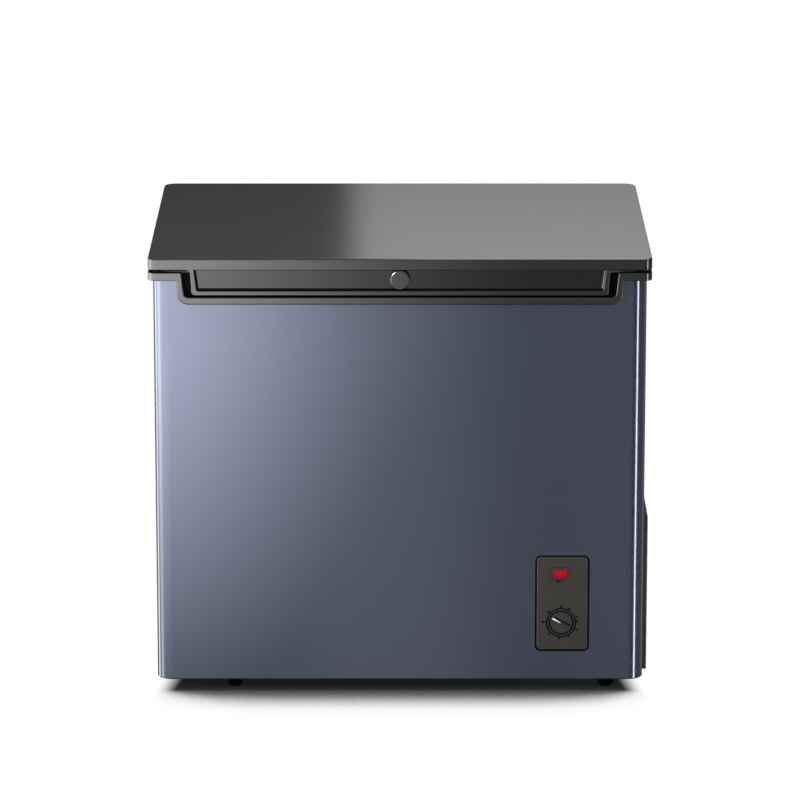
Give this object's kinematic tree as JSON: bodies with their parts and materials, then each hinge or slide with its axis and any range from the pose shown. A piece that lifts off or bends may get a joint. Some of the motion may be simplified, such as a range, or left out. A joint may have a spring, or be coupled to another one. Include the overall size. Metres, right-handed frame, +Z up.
{
  "type": "chest freezer",
  "caption": "Small free-standing chest freezer with a hinged top lid, pocket handle, thermostat dial, louvred side cover and a hanging wire basket.",
  "frame": {"origin": "middle of the footprint of the whole part, hinges included, on the floor", "axes": "+X to the right seen from the front, -Y out of the front, +Z up"},
  "size_m": [0.58, 0.4486, 0.52],
  "materials": {
    "black_gloss": "gloss",
    "black_plastic": "satin",
    "black_rubber": "matte",
    "black_steel": "satin",
    "blue_steel": "gloss",
    "coil_steel": "satin",
    "control_plastic": "satin",
    "copper": "satin",
    "foam": "matte",
    "grey_rubber": "matte",
    "red_lens": "gloss",
    "white_liner": "satin",
    "white_plastic": "satin",
    "white_wire": "satin",
    "zinc_steel": "satin"
  },
  "bodies": {
    "cabinet": {"outer_wrapper": "blue_steel", "rear_panel": "zinc_steel", "base_pan": "zinc_steel", "compartment_shield": "zinc_steel", "compressor_tray": "black_steel", "insulation_foam": "foam", "inner_liner": "white_liner", "top_collar": "black_plastic", "evaporator_coil": "coil_steel", "condenser_coil": "copper", "compressor": "black_steel", "compressor_grommet_1": "black_rubber", "compressor_grommet_2": "black_rubber", "compressor_grommet_3": "black_rubber", "compressor_grommet_4": "black_rubber", "starter_relay": "black_plastic", "filter_drier": "copper", "discharge_tube": "copper", "suction_tube": "copper", "capillary_tube": "copper", "side_vent_cover": "black_plastic", "rear_vent_cover": "zinc_steel", "cord_gland": "black_rubber", "control_plate": "control_plastic", "control_box": "black_plastic", "indicator_bezel": "black_plastic", "indicator_lens": "red_lens", "indicator_lamp": "white_plastic", "thermostat_body": "zinc_steel", "foot_front_left": "black_rubber", "foot_front_right": "black_rubber", "foot_rear_left": "black_rubber", "foot_rear_right": "black_rubber", "hinge_base_left": "zinc_steel", "hinge_pin_left": "zinc_steel", "hinge_spring_left": "zinc_steel", "hinge_base_screw_left_1": "zinc_steel", "hinge_base_screw_left_2": "zinc_steel", "hinge_base_right": "zinc_steel", "hinge_pin_right": "zinc_steel", "hinge_spring_right": "zinc_steel", "hinge_base_screw_right_1": "zinc_steel", "hinge_base_screw_right_2": "zinc_steel"},
    "lid": {"hinge_leaf_left": "zinc_steel", "hinge_leaf_screw_left_1": "zinc_steel", "hinge_leaf_screw_left_2": "zinc_steel", "hinge_leaf_right": "zinc_steel", "hinge_leaf_screw_right_1": "zinc_steel", "hinge_leaf_screw_right_2": "zinc_steel", "lid_shell": "black_gloss", "handle_boss_cap": "black_gloss", "lid_foam": "foam", "lid_inner_liner": "white_plastic", "lid_gasket": "grey_rubber"},
    "dial": {"thermostat_knob": "control_plastic", "thermostat_spindle": "zinc_steel"},
    "basket": {"wire_basket": "white_wire"}
  },
  "joints": [
    {"name": "lid_hinge", "type": "hinge", "parent": "cabinet", "child": "lid", "pos_m": [0, 0.2187, 0.497], "axis": [-1, 0, 0], "range_deg": [0, 80], "deforming": ["hinge_spring_left", "hinge_spring_right"]},
    {"name": "thermostat_dial", "type": "hinge", "parent": "cabinet", "child": "dial", "pos_m": [0.1885, -0.2196, 0.0837], "axis": [0, -1, 0], "range_deg": [-225, 75]},
    {"name": "basket_slide", "type": "slide", "parent": "cabinet", "child": "basket", "axis": [1, 0, 0], "range_m": [-0.25, 0]}
  ]
}
